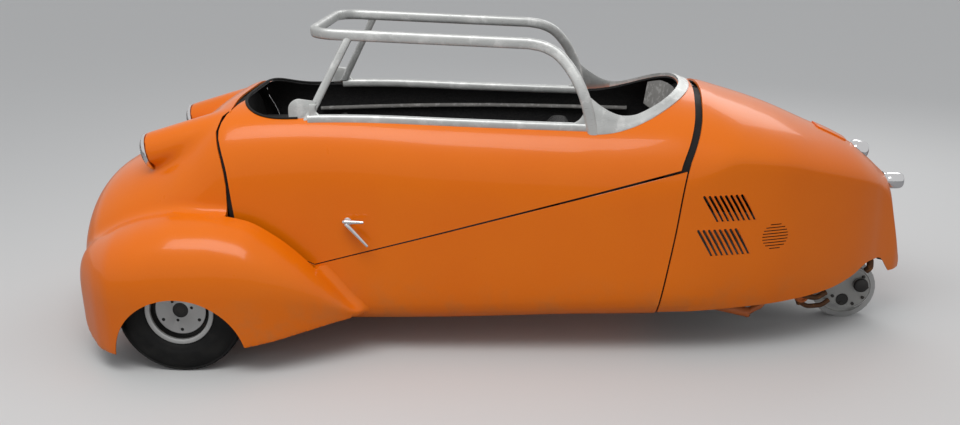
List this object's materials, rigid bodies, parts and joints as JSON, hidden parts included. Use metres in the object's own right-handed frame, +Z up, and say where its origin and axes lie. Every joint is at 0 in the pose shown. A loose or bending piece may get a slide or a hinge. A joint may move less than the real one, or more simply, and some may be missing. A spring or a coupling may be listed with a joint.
{
  "type": "three wheeled car",
  "caption": "Narrow three wheeled car for two in tandem, with a side-opening canopy, a bare looped window frame, deep front wings and a lifting louvred tail cover.",
  "frame": {"origin": "on the floor, on the centre line, under the middle of the car's length", "axes": "+X from the nose to the tail, +Y to the car's right, +Z up"},
  "size_m": [2.922, 1.234, 1.098],
  "materials": {
    "orange_paint": "glossy orange",
    "worn_aluminium": "worn bare metal",
    "chrome": "polished",
    "tyre_rubber": "dull black",
    "dark_steel": "oily dark steel",
    "black_vinyl": "black leathercloth",
    "dark_trim": "dull black paint"
  },
  "bodies": {
    "body": {"tub": "orange_paint", "nose_shell": "orange_paint", "front_wing_left": "orange_paint", "front_wing_right": "orange_paint", "headlamp_left": "chrome", "headlamp_right": "chrome", "hinge_strap_front": "dark_steel", "hinge_strap_rear": "dark_steel", "rear_bulkhead": "dark_trim", "tail_hinge_fixed": "dark_steel", "scuttle": "dark_trim", "dash_pod": "dark_trim", "steering_column": "dark_steel", "front_seat_cushion": "black_vinyl", "rear_seat_cushion": "black_vinyl", "front_seat_base": "dark_steel", "rear_seat_base": "dark_steel", "front_seat_back": "black_vinyl", "rear_seat_back": "black_vinyl", "front_axle_lower": "dark_steel", "front_axle_upper": "dark_steel", "drive_case": "worn_aluminium", "engine_block": "dark_steel", "engine_mount": "dark_steel", "exhaust_silencer": "dark_steel", "subframe_tube_left": "orange_paint", "subframe_tube_right": "orange_paint"},
    "canopy": {"canopy_shell": "orange_paint", "sill_rail_left": "worn_aluminium", "sill_rail_right": "worn_aluminium", "roof_rail": "worn_aluminium", "front_pillar_left": "worn_aluminium", "front_pillar_right": "worn_aluminium", "rear_band": "worn_aluminium", "canopy_handle": "chrome", "hinge_leaf_front": "dark_steel", "hinge_leaf_rear": "dark_steel"},
    "tail": {"tail_shell": "orange_paint", "tail_lamp": "chrome", "tail_end_piece": "chrome", "tail_hinge_leaf": "dark_steel"},
    "steering": {"steering_bar": "dark_trim"},
    "left_knuckle": {"knuckle_left": "dark_steel"},
    "right_knuckle": {"knuckle_right": "dark_steel"},
    "left_wheel": {"front_tyre_left": "tyre_rubber", "front_rim_left": "worn_aluminium", "front_drum_left": "dark_steel"},
    "right_wheel": {"front_tyre_right": "tyre_rubber", "front_rim_right": "worn_aluminium", "front_drum_right": "dark_steel"},
    "track": {"track_rod": "dark_steel"},
    "rear_wheel": {"rear_rim": "worn_aluminium", "rear_hub": "dark_steel"}
  },
  "joints": [
    {"name": "canopy_swing", "type": "hinge", "parent": "body", "child": "canopy", "pos_m": [0.251, 0.456, 0.555], "axis": [-1, 0, 0], "range_deg": [0, 85]},
    {"name": "tail_lift", "type": "hinge", "parent": "body", "child": "tail", "pos_m": [0.6905, 0, 0.853], "axis": [0, -1, 0], "range_deg": [0, 60]},
    {"name": "steer", "type": "hinge", "parent": "body", "child": "steering", "pos_m": [-0.52669, 0, 0.67354], "axis": [0.6725, 0, 0.7401], "range_deg": [-12, 12]},
    {"name": "left_kingpin", "type": "hinge", "parent": "body", "child": "left_knuckle", "pos_m": [-1.019, -0.462, 0.21], "axis": [0, 0, 1], "range_deg": [-12, 12]},
    {"name": "right_kingpin", "type": "hinge", "parent": "body", "child": "right_knuckle", "pos_m": [-1.019, 0.462, 0.21], "axis": [0, 0, 1], "range_deg": [-12, 12]},
    {"name": "track_shift", "type": "slide", "parent": "body", "child": "track", "axis": [0, 1, 0], "range_m": [-0.0212, 0.0212]},
    {"name": "left_roll", "type": "hinge", "parent": "left_knuckle", "child": "left_wheel", "pos_m": [-1.019, -0.512, 0.21], "axis": [0, 1, 0], "continuous": true},
    {"name": "right_roll", "type": "hinge", "parent": "right_knuckle", "child": "right_wheel", "pos_m": [-1.019, 0.512, 0.21], "axis": [0, 1, 0], "continuous": true},
    {"name": "rear_roll", "type": "hinge", "parent": "body", "child": "rear_wheel", "pos_m": [1.271, 0, 0.1145], "axis": [0, 1, 0], "continuous": true}
  ],
  "couplings": [
    {"joint": "left_kingpin", "follows": "steer", "ratio": 1},
    {"joint": "right_kingpin", "follows": "steer", "ratio": 1},
    {"joint": "track_shift", "follows": "steer", "m_per_rad": 0.1}
  ]
}
